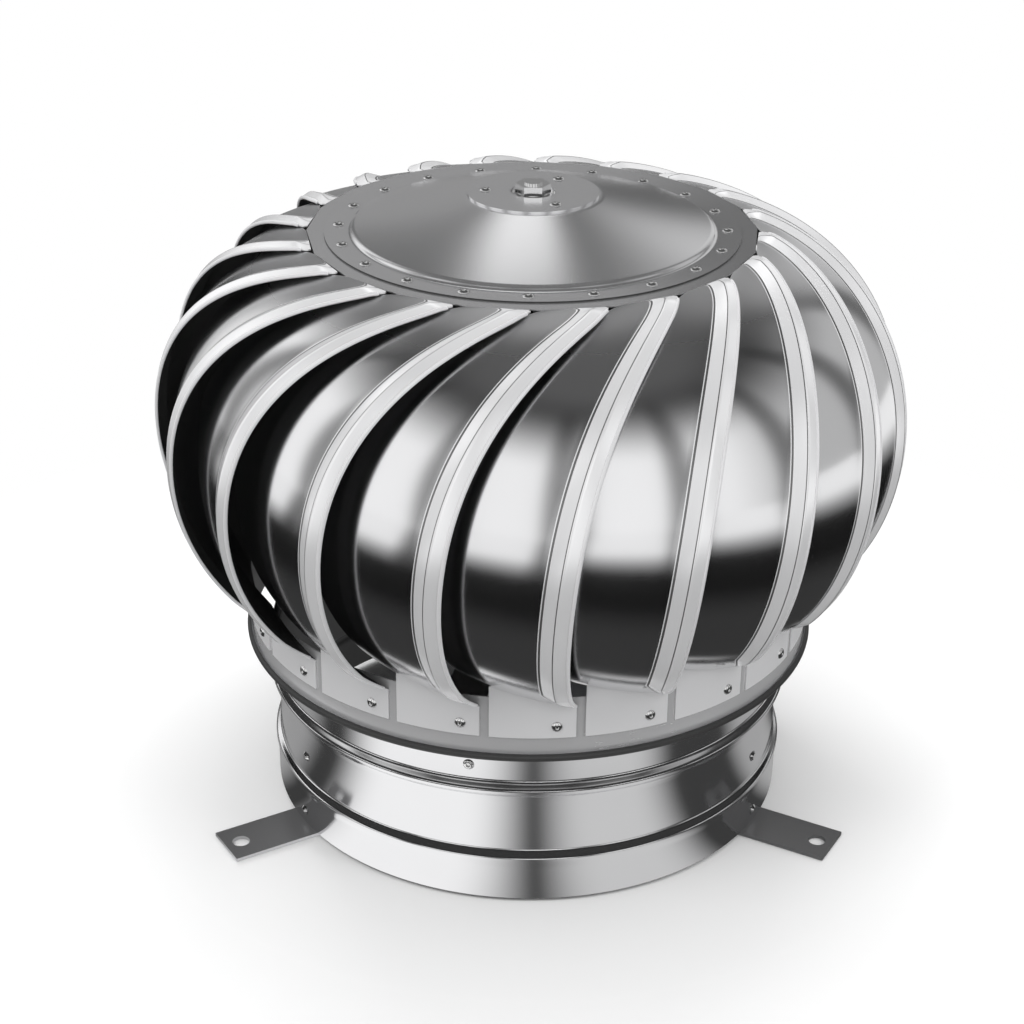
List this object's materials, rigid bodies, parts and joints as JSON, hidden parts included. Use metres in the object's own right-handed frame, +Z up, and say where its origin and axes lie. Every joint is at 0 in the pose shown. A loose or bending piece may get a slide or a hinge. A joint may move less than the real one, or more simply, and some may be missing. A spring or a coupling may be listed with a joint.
{
  "type": "roof turbine ventilator",
  "caption": "Wind-driven roof turbine ventilator: a lipped-vane globe turns on a fixed shaft above a round duct throat with three feet.",
  "frame": {"origin": "on the shaft's axis, level with the undersides of the three feet", "axes": "+Z up along the shaft; the foot of leg_rear points close to +Y and the two front feet point to -X and +X towards -Y"},
  "size_m": [0.425, 0.425, 0.3692],
  "materials": {
    "mirror_sheet": "polished stainless sheet",
    "vane_sheet": "polished stainless sheet",
    "satin_sheet": "satin stainless sheet",
    "pressed_aluminium": "plain pressed sheet",
    "bright_steel": "bright"
  },
  "bodies": {
    "base": {"throat_tube": "mirror_sheet", "collar_band": "mirror_sheet", "leg_left": "satin_sheet", "leg_right": "satin_sheet", "leg_rear": "satin_sheet", "leg_rivets": "bright_steel", "collar_rivets": "bright_steel", "lower_spider": "pressed_aluminium", "upper_spider": "pressed_aluminium", "shaft": "bright_steel", "spider_nuts": "bright_steel", "bearing_sleeve": "bright_steel", "lower_bearing_inner_ring": "bright_steel", "upper_bearing_inner_ring": "bright_steel", "top_washer": "bright_steel", "top_nut": "bright_steel"},
    "rotor": {"lower_bearing_outer_ring": "bright_steel", "upper_bearing_outer_ring": "bright_steel", "upper_bearing_housing": "pressed_aluminium", "lower_bearing_housing": "pressed_aluminium", "rotor_spider": "pressed_aluminium", "housing_rivets": "bright_steel", "rotor_band": "satin_sheet", "crown": "satin_sheet", "cap_disc": "satin_sheet", "cap_rivets": "bright_steel", "crown_rivets": "bright_steel", "band_rivets": "bright_steel", "vane_01": "vane_sheet", "vane_02": "vane_sheet", "vane_03": "vane_sheet", "vane_04": "vane_sheet", "vane_05": "vane_sheet", "vane_06": "vane_sheet", "vane_07": "vane_sheet", "vane_08": "vane_sheet", "vane_09": "vane_sheet", "vane_10": "vane_sheet", "vane_11": "vane_sheet", "vane_12": "vane_sheet", "vane_13": "vane_sheet", "vane_14": "vane_sheet", "vane_15": "vane_sheet", "vane_16": "vane_sheet", "vane_17": "vane_sheet", "vane_18": "vane_sheet", "vane_19": "vane_sheet", "vane_20": "vane_sheet"}
  },
  "joints": [
    {"name": "rotor_spin", "type": "hinge", "parent": "base", "child": "rotor", "pos_m": [0, 0, 0.2], "axis": [0, 0, 1], "continuous": true}
  ]
}
